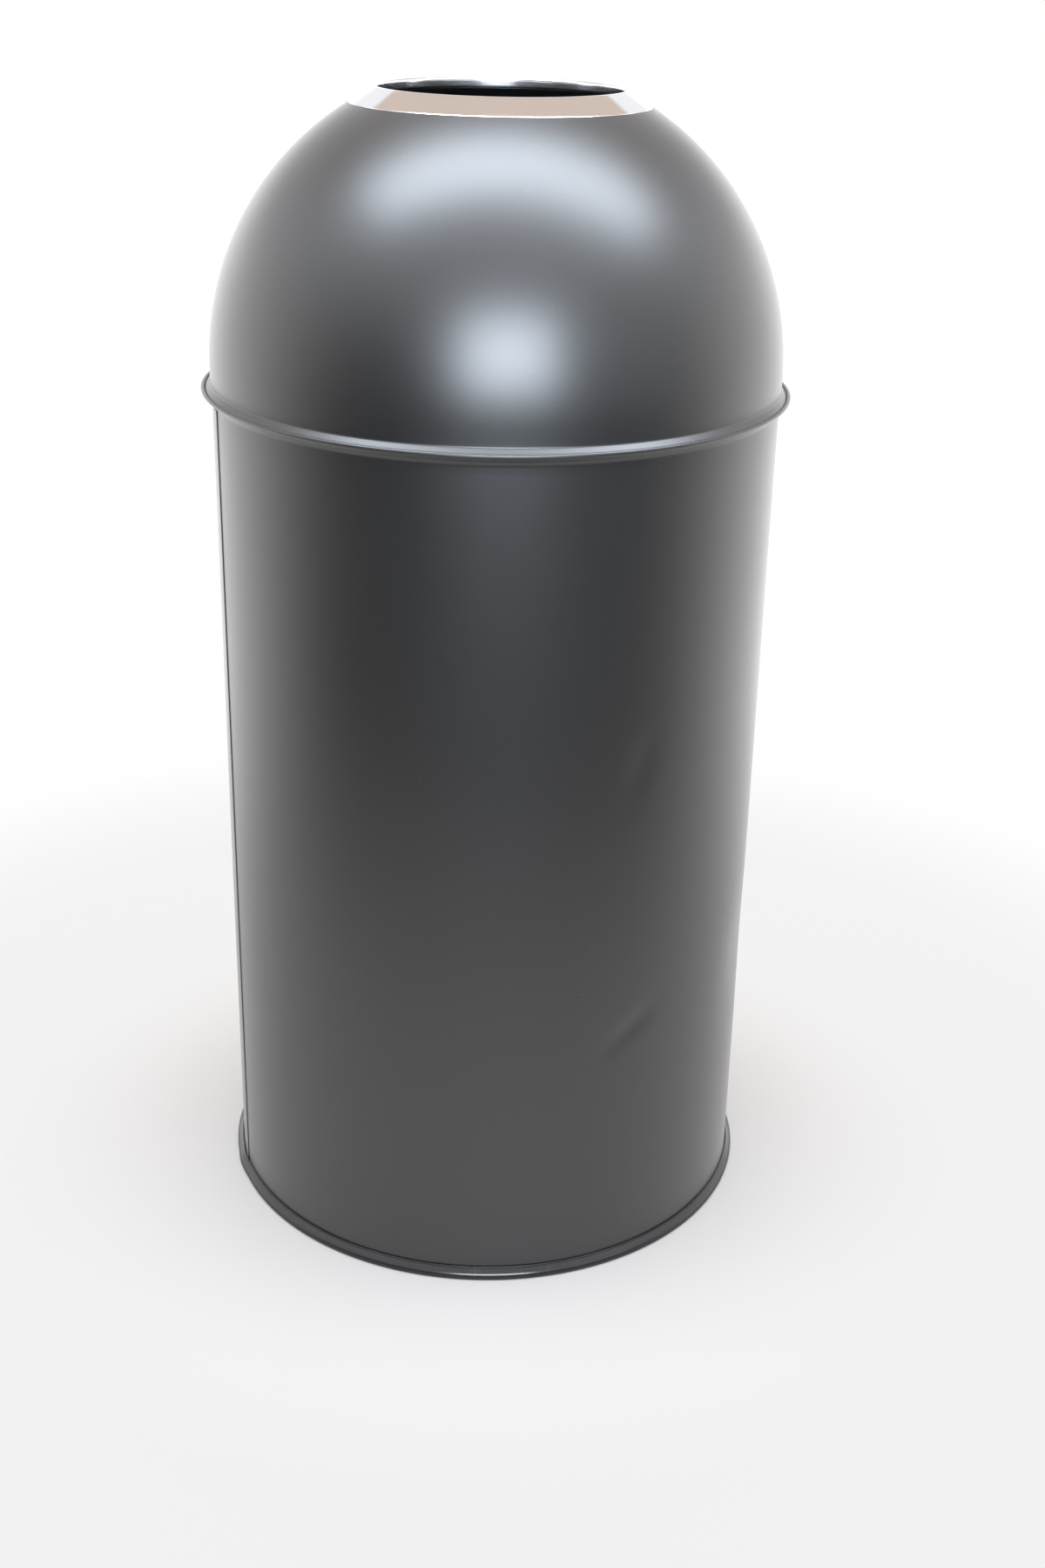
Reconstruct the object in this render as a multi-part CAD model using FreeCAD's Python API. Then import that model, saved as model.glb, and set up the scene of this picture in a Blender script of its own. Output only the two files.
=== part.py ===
"""Open-top dome trash can: a painted steel can with a lift-off dome, a bright trim ring round the
opening, and a galvanised pail inside with a wire bail.

The axis of the can is Z, the floor is Z = 0 and the front of the can faces -Y. Millimetres.
Every sheet-metal piece is drawn as its bends: the mid-line of the sheet, as runs and bends, is given
its thickness and turned about Z.
"""

import FreeCAD, Part
import os
from math import asin, acos, cos, degrees, hypot, radians, sin, sqrt

# Can body, rolled from one sheet with a flared and rolled rim
BODY_OUTER_RADIUS = 183.0
BODY_SHEET = 0.7
RIM_OVERHANG = 7.0
RIM_CENTRE_HEIGHT = 571.5
RIM_ROLL_RADIUS = 1.8
RIM_ROLL_TURN = 255.0
RIM_FLARE_RADIUS = 5.0
RIM_FLARE_ANGLE = 60.0

# Upright lock seam of the body, standing proud of the wall
SEAM_WIDTH = 8.0
SEAM_RISE = 1.3
SEAM_FRONT_ANGLE = 198.5

# Base ring, a plastic channel pushed onto the bottom edge of the body
BASE_RING_REACH = 5.0
BASE_RING_HEIGHT = 10.4
BASE_RING_CROWN_RADIUS = 4.2
BASE_RING_FOOT_RADIUS = 1.8
BASE_RING_FLOOR = 3.0
BASE_RING_INNER_WALL = 3.5
BASE_RING_INNER_HEIGHT = 8.0

# Base pan, the pressed floor of the can
PAN_SHEET = 0.7
PAN_HEIGHT = 15.0
PAN_BEND_RADIUS = 2.5
PAN_SHELF_WIDTH = 58.0
PAN_SUNK_DEPTH = 3.0
PAN_SUNK_ANGLE = 40.0

# Dome, spun from one sheet: flared foot, short upright skirt, half ball, down-turned neck
DOME_OVERHANG = 0.8
DOME_SHEET = 0.7
DOME_SKIRT = 7.3
FOOT_RADIUS = 4.0
FOOT_SEAT_ANGLE = 45.0
NECK_BEND_RADIUS = 1.2
NECK_RUN = 0.5

# Locating collar, a joggled band welded inside the dome
COLLAR_SHEET = 0.8
COLLAR_TOP_BAND = 6.0
COLLAR_DEPTH = 24.0
COLLAR_BEND_RADIUS = 1.5
COLLAR_SIDE_GAP = 0.4

# Trim ring, bright sheet crimped round the neck of the dome
OPENING_RADIUS = 76.0
TRIM_WIDTH = 17.4
TRIM_SHEET = 0.6
TRIM_LIP_RADIUS = 1.3
TRIM_EDGE_RADIUS = 0.8
TRIM_EDGE_TURN = 55.0
TRIM_HOOK_RUN = 0.5

# Galvanised pail that stands inside the can
LINER_SIDE_ROOM = 15.0
LINER_SHEET = 0.6
LINER_RIM_DROP = 26.0
LINER_HEM_WIDTH = 7.0
LINER_HEM_BEND = 1.5
LINER_RIB_RADIUS = 4.0
LINER_RIB_ANGLE = 45.0
LINER_LOW_RIB_RISE = 90.0
LINER_HIGH_RIB_DROP = 90.0
LINER_FLOOR_HEIGHT = 10.0
LINER_FLOOR_BEND = 2.5
LINER_SEAM_WIDTH = 8.0
LINER_SEAM_RISE = 1.2
LINER_SEAM_ANGLE = 120.0
RIM_WIRE_RADIUS = 2.4
RIM_CURL_TURN = 270.0

# Bail and the two ears that carry it
BAIL_WIRE_RADIUS = 2.0
BAIL_BEND_RADIUS = 4.0
BAIL_HEAD_RADIUS = 3.4
BAIL_HEAD_LENGTH = 1.4
EAR_SHEET = 2.0
EAR_WIDTH = 24.0
EAR_CORNER_RADIUS = 6.0
EAR_BEND_RADIUS = 3.0
EAR_BEND_ANGLE = 35.0
EAR_FOOT_LENGTH = 22.0
EAR_TIP_RISE = 7.0
PIVOT_RISE = 8.0
RIVET_RADIUS = 2.0
RIVET_SPACING = 12.0
RIVET_DROP = 11.0
RIVET_HEAD_RADIUS = 3.8
RIVET_HEAD_HEIGHT = 1.6

# Clearances
JOINED_GAP = 0.1
RESTING_GAP = 0.3
PIVOT_GAP = 0.1
WIRE_GAP = 0.15
RIVET_GAP = 0.05

OUT_FOLDER = "parts"
OUTWARD, UP, INWARD, DOWN = 0.0, 90.0, 180.0, 270.0
RIGHT, LEFT = 0.0, 180.0
ORIGIN = FreeCAD.Vector(0, 0, 0)
X_AXIS = FreeCAD.Vector(1, 0, 0)
Z_AXIS = FreeCAD.Vector(0, 0, 1)

# Radii and heights that follow from the sizes above
body_mid = BODY_OUTER_RADIUS - BODY_SHEET / 2
body_inner = BODY_OUTER_RADIUS - BODY_SHEET
rim_outer = BODY_OUTER_RADIUS + RIM_OVERHANG
rim_flare_mid = RIM_FLARE_RADIUS + BODY_SHEET / 2
rim_roll_mid = RIM_ROLL_RADIUS - BODY_SHEET / 2
flare_sin, flare_cos = sin(radians(RIM_FLARE_ANGLE)), cos(radians(RIM_FLARE_ANGLE))
rim_run = (rim_outer - RIM_ROLL_RADIUS + rim_roll_mid * flare_cos - body_mid
           - rim_flare_mid * (1 - flare_cos)) / flare_sin
flare_start = RIM_CENTRE_HEIGHT - (rim_flare_mid + rim_roll_mid) * flare_sin - rim_run * flare_cos

seam_angle = degrees(SEAM_WIDTH / BODY_OUTER_RADIUS)
seam_top_radius = BODY_OUTER_RADIUS + SEAM_RISE

pan_outer = body_inner - JOINED_GAP
pan_mid = pan_outer - PAN_SHEET / 2
pan_top = PAN_HEIGHT + PAN_SHEET / 2

dome_outer = BODY_OUTER_RADIUS + DOME_OVERHANG
dome_mid = dome_outer - DOME_SHEET / 2
dome_inner = dome_outer - DOME_SHEET
foot_mid = FOOT_RADIUS + DOME_SHEET / 2
foot_seat = RIM_ROLL_RADIUS + RESTING_GAP
foot_low_radius = rim_outer - RIM_ROLL_RADIUS - foot_seat * cos(radians(FOOT_SEAT_ANGLE))
foot_low_height = RIM_CENTRE_HEIGHT + foot_seat * sin(radians(FOOT_SEAT_ANGLE))
foot_cos = (dome_outer + FOOT_RADIUS - foot_low_radius) / (FOOT_RADIUS + DOME_SHEET)
foot_angle = degrees(acos(foot_cos))
foot_sin = sin(radians(foot_angle))
foot_edge_radius = foot_low_radius + DOME_SHEET / 2 * foot_cos
foot_edge_height = foot_low_height + DOME_SHEET / 2 * foot_sin
skirt_bottom = foot_edge_height + foot_mid * foot_sin
dome_centre = skirt_bottom + DOME_SKIRT
neck_mid = OPENING_RADIUS + TRIM_SHEET + JOINED_GAP + DOME_SHEET / 2
neck_angle = degrees(acos((neck_mid + NECK_BEND_RADIUS) / (dome_mid - NECK_BEND_RADIUS)))
neck_bend_height = dome_centre + (dome_mid - NECK_BEND_RADIUS) * sin(radians(neck_angle))
neck_bottom = neck_bend_height - NECK_RUN

liner_outer = BODY_OUTER_RADIUS - LINER_SIDE_ROOM
liner_mid = liner_outer - LINER_SHEET / 2
liner_inner = liner_outer - LINER_SHEET
liner_bottom_height = pan_top
liner_top = RIM_CENTRE_HEIGHT - LINER_RIM_DROP
curl_inner = RIM_WIRE_RADIUS + WIRE_GAP
curl_mid = curl_inner + LINER_SHEET / 2
curl_outer = curl_inner + LINER_SHEET
curl_centre_radius = liner_mid + curl_mid
curl_centre_height = liner_top - curl_outer

ear_inner = curl_centre_radius + curl_outer + RESTING_GAP
ear_turn = radians(EAR_BEND_ANGLE)
ear_foot_mid = liner_outer + JOINED_GAP + EAR_SHEET / 2
ear_tip_mid = ear_inner + EAR_SHEET / 2
ear_slant = (ear_tip_mid - ear_foot_mid - 2 * EAR_BEND_RADIUS * (1 - cos(ear_turn))) / sin(ear_turn)
ear_step = 2 * EAR_BEND_RADIUS * sin(ear_turn) + ear_slant * cos(ear_turn)
ear_foot_top = curl_centre_height - curl_outer - ear_step
rivet_height = ear_foot_top - RIVET_DROP
rivet_angle = degrees(RIVET_SPACING / 2 / liner_outer)
rivet_angles = (-rivet_angle, rivet_angle)
pivot_height = liner_top + PIVOT_RISE
bail_side = ear_inner - RESTING_GAP
bail_tilt = degrees(asin(BAIL_BEND_RADIUS / hypot(bail_side, BAIL_BEND_RADIUS)))
bail_radius = hypot(bail_side, BAIL_BEND_RADIUS) - BAIL_BEND_RADIUS
bail_rest_drop = PIVOT_RISE - BAIL_WIRE_RADIUS - RESTING_GAP
bail_rest_angle = -degrees(asin(bail_rest_drop / bail_radius))


def run(length):
    """A straight stretch of the sheet."""
    return length, None


def bend(radius, turn):
    """A bend of the mid-line, with a left turn positive, in degrees."""
    return radius, turn


def direction(heading):
    return cos(radians(heading)), sin(radians(heading))


def point(r, z):
    """A point of the half-plane that is turned about Z."""
    return FreeCAD.Vector(r, 0, z)


def beside(place, heading, offset):
    """The point at an offset to the left of the mid-line."""
    dr, dz = direction(heading + 90)
    return point(place[0] + offset * dr, place[1] + offset * dz)


def moved(place, heading, step):
    """The place and heading after one run or bend."""
    size, turn = step
    dr, dz = direction(heading)
    if turn is None:
        return (place[0] + size * dr, place[1] + size * dz), heading
    side = 1 if turn > 0 else -1
    left_r, left_z = direction(heading + 90)
    centre = place[0] + side * size * left_r, place[1] + side * size * left_z
    new_left_r, new_left_z = direction(heading + turn + 90)
    return (centre[0] - side * size * new_left_r, centre[1] - side * size * new_left_z), heading + turn


def half_of(step):
    size, turn = step
    return (size / 2, None) if turn is None else (size, turn / 2)


def side_edges(place, heading, steps, offset):
    """The edges of one side of the sheet, in order."""
    edges = []
    for step in steps:
        middle = moved(place, heading, half_of(step))
        end = moved(place, heading, step)
        first, last = beside(place, heading, offset), beside(*end, offset)
        if step[1] is None:
            edges.append(Part.LineSegment(first, last).toShape())
        else:
            edges.append(Part.Arc(first, beside(*middle, offset), last).toShape())
        place, heading = end
    return edges, (place, heading)


def sheet_face(place, heading, steps, sheet):
    """The section of a sheet whose mid-line starts at place and follows the steps."""
    left, end = side_edges(place, heading, steps, sheet / 2)
    right, end = side_edges(place, heading, steps, -sheet / 2)
    start_cap = Part.LineSegment(beside(place, heading, -sheet / 2), beside(place, heading, sheet / 2))
    end_cap = Part.LineSegment(beside(*end, sheet / 2), beside(*end, -sheet / 2))
    edges = [start_cap.toShape(), *left, end_cap.toShape(), *reversed(right)]
    return Part.Face(Part.Wire(Part.__sortEdges__(edges)))


def outline_face(points):
    """A face whose outline is straight lines between points, or an arc where a point is a pair
    of the arc's middle and its end."""
    edges, here = [], points[0]
    for item in [*points[1:], points[0]]:
        if isinstance(item, tuple):
            edges.append(Part.Arc(here, *item).toShape())
            here = item[1]
        else:
            edges.append(Part.LineSegment(here, item).toShape())
            here = item
    return Part.Face(Part.Wire(edges))


def turned(face, angle=360.0, start=0.0):
    """The solid that a face makes when it is turned about Z."""
    solid = face.revolve(ORIGIN, Z_AXIS, angle)
    solid.rotate(ORIGIN, Z_AXIS, start)
    return solid


def sector(inner, outer, low, high, angle, start):
    """A block of a round wall between two radii, two heights and two angles."""
    corners = [point(inner, low), point(outer, low), point(outer, high), point(inner, high)]
    return turned(outline_face(corners), angle, start)


def radial_cylinder(radius, inner, outer, height, angle=0.0):
    """A round bar that points away from Z at a height and an angle."""
    bar = Part.makeCylinder(radius, outer - inner, point(inner, height), X_AXIS)
    bar.rotate(ORIGIN, Z_AXIS, angle)
    return bar


def body_shell():
    """The wall, the flare and the rolled rim, with the lock seam up one side."""
    steps = [
        run(flare_start - BASE_RING_FLOOR),
        bend(rim_flare_mid, -RIM_FLARE_ANGLE),
        run(rim_run),
        bend(rim_roll_mid, RIM_ROLL_TURN),
    ]
    wall = turned(sheet_face((body_mid, BASE_RING_FLOOR), UP, steps, BODY_SHEET))
    seam = sector(body_mid, seam_top_radius, BASE_RING_FLOOR, flare_start, seam_angle,
                  SEAM_FRONT_ANGLE - seam_angle)
    return wall.fuse(seam)


def base_ring():
    """A channel with a round outside, a flat foot and a groove for the body and the pan."""
    groove_outer = BODY_OUTER_RADIUS + JOINED_GAP
    groove_inner = pan_outer - PAN_SHEET - JOINED_GAP
    inner = groove_inner - BASE_RING_INNER_WALL
    ring_outer = BODY_OUTER_RADIUS + BASE_RING_REACH
    crown_radius = ring_outer - BASE_RING_CROWN_RADIUS
    crown_height = BASE_RING_HEIGHT - BASE_RING_CROWN_RADIUS
    foot_radius = ring_outer - BASE_RING_FOOT_RADIUS
    slant = sqrt(0.5)
    crown_slant = BASE_RING_CROWN_RADIUS * slant
    section = outline_face([
        point(inner, 0),
        point(foot_radius, 0),
        (point(foot_radius + BASE_RING_FOOT_RADIUS * slant, BASE_RING_FOOT_RADIUS * (1 - slant)),
         point(ring_outer, BASE_RING_FOOT_RADIUS)),
        point(ring_outer, crown_height),
        (point(crown_radius + crown_slant, crown_height + crown_slant),
         point(crown_radius, BASE_RING_HEIGHT)),
        point(groove_outer, BASE_RING_HEIGHT),
        point(groove_outer, BASE_RING_FLOOR),
        point(groove_inner, BASE_RING_FLOOR),
        point(groove_inner, BASE_RING_INNER_HEIGHT),
        point(inner, BASE_RING_INNER_HEIGHT),
    ])
    gap_angle = degrees(JOINED_GAP / BODY_OUTER_RADIUS)
    notch = sector(body_mid, seam_top_radius + JOINED_GAP, BASE_RING_FLOOR, 2 * BASE_RING_HEIGHT,
                   seam_angle + 2 * gap_angle, SEAM_FRONT_ANGLE - seam_angle - gap_angle)
    return turned(section).cut(notch)


def base_pan():
    """A disc with a sunken middle and a flange that stands in the groove of the base ring."""
    slope_angle = radians(PAN_SUNK_ANGLE)
    slope = PAN_SUNK_DEPTH - 2 * PAN_BEND_RADIUS * (1 - cos(slope_angle))
    slope_length = slope / sin(slope_angle)
    slope_width = 2 * PAN_BEND_RADIUS * sin(slope_angle) + slope_length * cos(slope_angle)
    steps = [
        run(pan_mid - PAN_SHELF_WIDTH - slope_width),
        bend(PAN_BEND_RADIUS, PAN_SUNK_ANGLE),
        run(slope_length),
        bend(PAN_BEND_RADIUS, -PAN_SUNK_ANGLE),
        run(PAN_SHELF_WIDTH - PAN_BEND_RADIUS),
        bend(PAN_BEND_RADIUS, -90),
        run(PAN_HEIGHT - PAN_BEND_RADIUS - BASE_RING_FLOOR),
    ]
    return turned(sheet_face((0, PAN_HEIGHT - PAN_SUNK_DEPTH), OUTWARD, steps, PAN_SHEET))


def dome_height(radius):
    """The height of the outside of the dome at a radius."""
    return dome_centre + sqrt(dome_outer ** 2 - radius ** 2)


def dome_cover():
    """Foot, skirt, half ball and neck."""
    steps = [
        bend(foot_mid, -foot_angle),
        run(DOME_SKIRT),
        bend(dome_mid, neck_angle),
        bend(NECK_BEND_RADIUS, 180 - neck_angle),
        run(NECK_RUN),
    ]
    return turned(sheet_face((foot_edge_radius, foot_edge_height), UP + foot_angle, steps, DOME_SHEET))


def dome_collar():
    """A band against the inside of the skirt that steps in and reaches down inside the body."""
    top_mid = dome_inner - JOINED_GAP - COLLAR_SHEET / 2
    low_mid = body_inner - COLLAR_SIDE_GAP - COLLAR_SHEET / 2
    step = top_mid - low_mid
    joggle = degrees(acos(1 - step / (2 * COLLAR_BEND_RADIUS)))
    joggle_height = 2 * COLLAR_BEND_RADIUS * sin(radians(joggle))
    top = dome_centre
    steps = [
        run(COLLAR_TOP_BAND),
        bend(COLLAR_BEND_RADIUS, -joggle),
        bend(COLLAR_BEND_RADIUS, joggle),
        run(top - COLLAR_TOP_BAND - joggle_height - RIM_CENTRE_HEIGHT + COLLAR_DEPTH),
    ]
    return turned(sheet_face((top_mid, top), DOWN, steps, COLLAR_SHEET))


def opening_trim():
    """A ring that leaves the dome on a tangent, rolls over into the opening and hooks under the neck."""
    collar_mid = OPENING_RADIUS + TRIM_SHEET / 2
    trim_outer = OPENING_RADIUS + TRIM_WIDTH
    slope = asin(trim_outer / dome_outer)
    hook_radius = neck_mid - collar_mid
    lip_end = collar_mid + TRIM_LIP_RADIUS * (1 + sin(slope))
    edge_turn = radians(TRIM_EDGE_TURN)
    edge_reach = TRIM_EDGE_RADIUS * (sin(slope + edge_turn) - sin(slope))
    edge_drop = TRIM_EDGE_RADIUS * (cos(slope) - cos(slope + edge_turn))
    edge_mid = trim_outer - TRIM_SHEET / 2
    low_inner = edge_mid - TRIM_SHEET / 2 * sin(slope + edge_turn)
    edge_height = dome_height(low_inner) + JOINED_GAP + TRIM_SHEET / 2 * cos(slope + edge_turn)
    flange = (edge_mid - edge_reach - lip_end) / cos(slope)
    lip_centre = edge_height + edge_drop + flange * sin(slope) - TRIM_LIP_RADIUS * cos(slope)
    steps = [
        bend(TRIM_EDGE_RADIUS, TRIM_EDGE_TURN),
        run(flange),
        bend(TRIM_LIP_RADIUS, 90 + degrees(slope)),
        run(lip_centre - neck_bottom),
        bend(hook_radius, 180),
        run(TRIM_HOOK_RUN),
    ]
    heading = INWARD - degrees(slope) - TRIM_EDGE_TURN
    return turned(sheet_face((edge_mid, edge_height), heading, steps, TRIM_SHEET))


def liner_wall():
    """The pail's wall: a hem to stand on, two ribs and a rim curled round a wire."""
    rib_rise = 4 * LINER_RIB_RADIUS * sin(radians(LINER_RIB_ANGLE))
    rib = [
        bend(LINER_RIB_RADIUS, -LINER_RIB_ANGLE),
        bend(LINER_RIB_RADIUS, 2 * LINER_RIB_ANGLE),
        bend(LINER_RIB_RADIUS, -LINER_RIB_ANGLE),
    ]
    low_rib = liner_bottom_height + LINER_LOW_RIB_RISE + rib_rise
    high_rib = liner_top - LINER_HIGH_RIB_DROP - rib_rise
    hem_height = liner_bottom_height + LINER_SHEET / 2
    steps = [
        run(LINER_HEM_WIDTH - LINER_HEM_BEND),
        bend(LINER_HEM_BEND, 90),
        run(LINER_LOW_RIB_RISE - LINER_HEM_BEND - LINER_SHEET / 2),
        *rib,
        run(high_rib - low_rib),
        *rib,
        run(curl_centre_height - high_rib - rib_rise),
        bend(curl_mid, -RIM_CURL_TURN),
    ]
    wall = turned(sheet_face((liner_mid - LINER_HEM_WIDTH, hem_height), OUTWARD, steps, LINER_SHEET))
    width = degrees(LINER_SEAM_WIDTH / liner_outer)
    wall = wall.fuse(sector(liner_mid, liner_outer + LINER_SEAM_RISE, low_rib, high_rib, width,
                            LINER_SEAM_ANGLE))
    holes = [
        radial_cylinder(RIVET_RADIUS + RIVET_GAP, liner_inner - LINER_SHEET,
                        liner_outer + LINER_SHEET, rivet_height, side + angle)
        for side in (RIGHT, LEFT)
        for angle in rivet_angles
    ]
    return wall.cut(Part.makeCompound(holes))


def liner_bottom():
    """The pail's floor, a disc with a flange turned down inside the wall."""
    floor_height = liner_bottom_height + LINER_FLOOR_HEIGHT
    flange_mid = liner_inner - JOINED_GAP - LINER_SHEET / 2
    flange_low = liner_bottom_height + LINER_HEM_BEND + LINER_SHEET / 2 + JOINED_GAP
    steps = [
        run(flange_mid - LINER_FLOOR_BEND),
        bend(LINER_FLOOR_BEND, -90),
        run(floor_height - LINER_FLOOR_BEND - flange_low),
    ]
    return turned(sheet_face((0, floor_height), OUTWARD, steps, LINER_SHEET))


def liner_rim_wire():
    """The wire inside the curl of the pail's rim."""
    return Part.makeTorus(curl_centre_radius, RIM_WIRE_RADIUS, point(0, curl_centre_height), Z_AXIS)


def bail_ear(side):
    """A strap that lies on the wall, steps out round the curl and stands above the rim."""
    tip_high = pivot_height + EAR_TIP_RISE
    steps = [
        run(EAR_FOOT_LENGTH),
        bend(EAR_BEND_RADIUS, -EAR_BEND_ANGLE),
        run(ear_slant),
        bend(EAR_BEND_RADIUS, EAR_BEND_ANGLE),
        run(tip_high - ear_foot_top - ear_step),
    ]
    width = degrees(EAR_WIDTH / liner_outer)
    foot = ear_foot_mid, ear_foot_top - EAR_FOOT_LENGTH
    strap = turned(sheet_face(foot, UP, steps, EAR_SHEET), width, -width / 2)
    tip_corners = [
        edge for edge in strap.Edges
        if abs(edge.CenterOfMass.z - tip_high) < EAR_SHEET and abs(edge.Length - EAR_SHEET) < JOINED_GAP
    ]
    strap = strap.makeFillet(EAR_CORNER_RADIUS, tip_corners)
    holes = [
        radial_cylinder(RIVET_RADIUS + RIVET_GAP, liner_inner, ear_inner, rivet_height, angle)
        for angle in rivet_angles
    ]
    holes.append(radial_cylinder(BAIL_WIRE_RADIUS + PIVOT_GAP, curl_centre_radius,
                                 ear_inner + 2 * EAR_SHEET, pivot_height))
    strap = strap.cut(Part.makeCompound(holes))
    strap.rotate(ORIGIN, Z_AXIS, side)
    return strap


def rivet_head(base, facing):
    """A round head on a flat seat at a radius, facing away from Z or, with -1, towards it."""
    ball_radius = (RIVET_HEAD_RADIUS ** 2 + RIVET_HEAD_HEIGHT ** 2) / (2 * RIVET_HEAD_HEIGHT)
    tip = base + facing * RIVET_HEAD_HEIGHT
    ball = Part.makeSphere(ball_radius, point(tip - facing * ball_radius, rivet_height))
    low, high = sorted((base, tip))
    return ball.common(radial_cylinder(RIVET_HEAD_RADIUS, low, high, rivet_height))


def ear_rivets(side):
    """The pair of rivets that holds one ear to the wall."""
    seat_out = liner_outer + JOINED_GAP + EAR_SHEET + RIVET_GAP
    seat_in = sqrt(liner_inner ** 2 - RIVET_HEAD_RADIUS ** 2) - RIVET_GAP
    shank = radial_cylinder(RIVET_RADIUS, seat_in, seat_out, rivet_height)
    rivet = shank.fuse([rivet_head(seat_out, 1), rivet_head(seat_in, -1)])
    pair = []
    for angle in rivet_angles:
        copy = rivet.copy()
        copy.rotate(ORIGIN, Z_AXIS, side + angle)
        pair.append(copy)
    return Part.makeCompound(pair)


def bail_handle():
    """A wire arch whose ends turn out through the ears and are headed over, lying on the rim."""
    outer = ear_inner + EAR_SHEET + RESTING_GAP
    hook = outer + BAIL_HEAD_LENGTH - bail_side
    start = outer + BAIL_HEAD_LENGTH, 0
    steps = [
        run(hook),
        bend(BAIL_BEND_RADIUS, bail_tilt - 90),
        bend(bail_radius, 180 - 2 * bail_tilt),
        bend(BAIL_BEND_RADIUS, bail_tilt - 90),
        run(hook),
    ]
    path, end = side_edges(start, INWARD, steps, 0)
    section = Part.Wire(Part.makeCircle(BAIL_WIRE_RADIUS, point(*start), X_AXIS))
    arch = Part.Wire(path).makePipeShell([section], True, True)
    heads = [
        Part.makeCylinder(BAIL_HEAD_RADIUS, BAIL_HEAD_LENGTH, point(seat, 0), X_AXIS)
        for seat in (outer, -outer - BAIL_HEAD_LENGTH)
    ]
    arch = Part.Solid(arch).fuse(heads)
    arch.rotate(ORIGIN, X_AXIS, bail_rest_angle - 90)
    arch.translate(point(0, pivot_height))
    return arch


PIECES = {
    "body_shell": body_shell,
    "base_ring": base_ring,
    "base_pan": base_pan,
    "dome_cover": dome_cover,
    "dome_collar": dome_collar,
    "opening_trim": opening_trim,
    "liner_wall": liner_wall,
    "liner_bottom": liner_bottom,
    "liner_rim_wire": liner_rim_wire,
    "bail_ear_right": lambda: bail_ear(RIGHT),
    "bail_ear_left": lambda: bail_ear(LEFT),
    "ear_rivets_right": lambda: ear_rivets(RIGHT),
    "ear_rivets_left": lambda: ear_rivets(LEFT),
    "bail_handle": bail_handle,
}


def main():
    os.makedirs(OUT_FOLDER, exist_ok=True)
    for name, make in PIECES.items():
        shape = make()
        shape.exportStep(os.path.join(OUT_FOLDER, name + ".step"))
        box = shape.BoundBox
        print(f"{name}: {len(shape.Solids)} solid, valid {shape.isValid()}, "
              f"volume {shape.Volume / 1000:.2f} cm3, x {box.XMin:.2f} {box.XMax:.2f}, "
              f"z {box.ZMin:.2f} {box.ZMax:.2f}")


main()
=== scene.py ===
"""Looks of an open-top dome trash can: painted sheet steel, a bright trim ring, a black foot ring and a
galvanised pail with a wire bail, on a plain pale floor.

Metres, +Z up along the can's axis, the front faces -Y. Every sheet piece is drawn as one line of runs and
bends in the X-Z half-plane, spun about Z and given its thickness.
"""

from collections import namedtuple
from math import acos, atan2, cos, exp, pi, radians, sin, sqrt, tau

import bmesh
import bpy
from bpy.props import FloatProperty, FloatVectorProperty, IntProperty, PointerProperty
from bpy.types import Operator, Panel, PropertyGroup
from mathutils import Matrix, Vector


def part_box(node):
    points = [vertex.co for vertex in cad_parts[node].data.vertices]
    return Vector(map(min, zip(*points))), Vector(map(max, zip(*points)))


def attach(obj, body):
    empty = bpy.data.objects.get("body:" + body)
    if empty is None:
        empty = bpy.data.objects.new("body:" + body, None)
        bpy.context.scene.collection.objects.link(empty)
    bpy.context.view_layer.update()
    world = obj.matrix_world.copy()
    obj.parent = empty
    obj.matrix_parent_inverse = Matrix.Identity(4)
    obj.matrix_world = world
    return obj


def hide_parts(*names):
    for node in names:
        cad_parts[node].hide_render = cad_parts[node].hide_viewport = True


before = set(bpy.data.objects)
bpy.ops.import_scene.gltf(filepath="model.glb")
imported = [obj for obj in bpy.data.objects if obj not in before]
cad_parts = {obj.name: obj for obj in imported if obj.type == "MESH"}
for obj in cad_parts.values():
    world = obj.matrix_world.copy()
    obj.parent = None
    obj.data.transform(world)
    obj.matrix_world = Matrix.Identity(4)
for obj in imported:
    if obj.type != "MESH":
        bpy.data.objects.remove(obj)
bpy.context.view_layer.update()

bl_info = {
    "name": "Dome Top Trash Can",
    "version": (1, 0, 0),
    "blender": (4, 5, 0),
    "location": "View3D > Sidebar > Trash Can",
    "description": "Builds the looks of an open-top dome trash can around its CAD frame",
    "category": "Add Mesh",
}

MILLIMETRE = 0.001

BODY_LOW, BODY_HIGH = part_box("body_shell")
RING_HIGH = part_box("base_ring")[1]
COLLAR_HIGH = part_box("dome_collar")[1]
TRIM_LOW, TRIM_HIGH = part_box("opening_trim")

OUTWARD, UP, DOWN, INWARD = 0.0, pi / 2, -pi / 2, pi
AXIS_POINT = Vector((0.0, 0.0, 0.0))
AXIS = Vector((0.0, 0.0, 1.0))
SMOOTH_ANGLE = radians(35.0)

RIM_INSET = 0.00008
RIM_DROP = 0.0010
RIM_FLARE_TURN = radians(60.0)
RIM_ROLL_TURN = radians(255.0)
SEAM_FRONT_ANGLE = radians(198.5)
SEAM_ROUNDING = 0.45
MOUTH_TAPER = radians(0.5)
MOUTH_EDGE_TURN = radians(28.0)

# A soft oval hollow: where its middle is, its half length, half width, tilt of its long way, and depth
Dent = namedtuple("Dent", "angle height reach width tilt depth")
WALL_DENTS = (
    Dent(radians(300.5), height=0.369, reach=0.020, width=0.009, tilt=radians(75.0), depth=0.0007),
    Dent(radians(300.6), height=0.1805, reach=0.022, width=0.0065, tilt=radians(33.0), depth=0.0014),
    Dent(radians(344.0), height=0.185, reach=0.040, width=0.030, tilt=radians(90.0), depth=0.0013),
)

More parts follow.
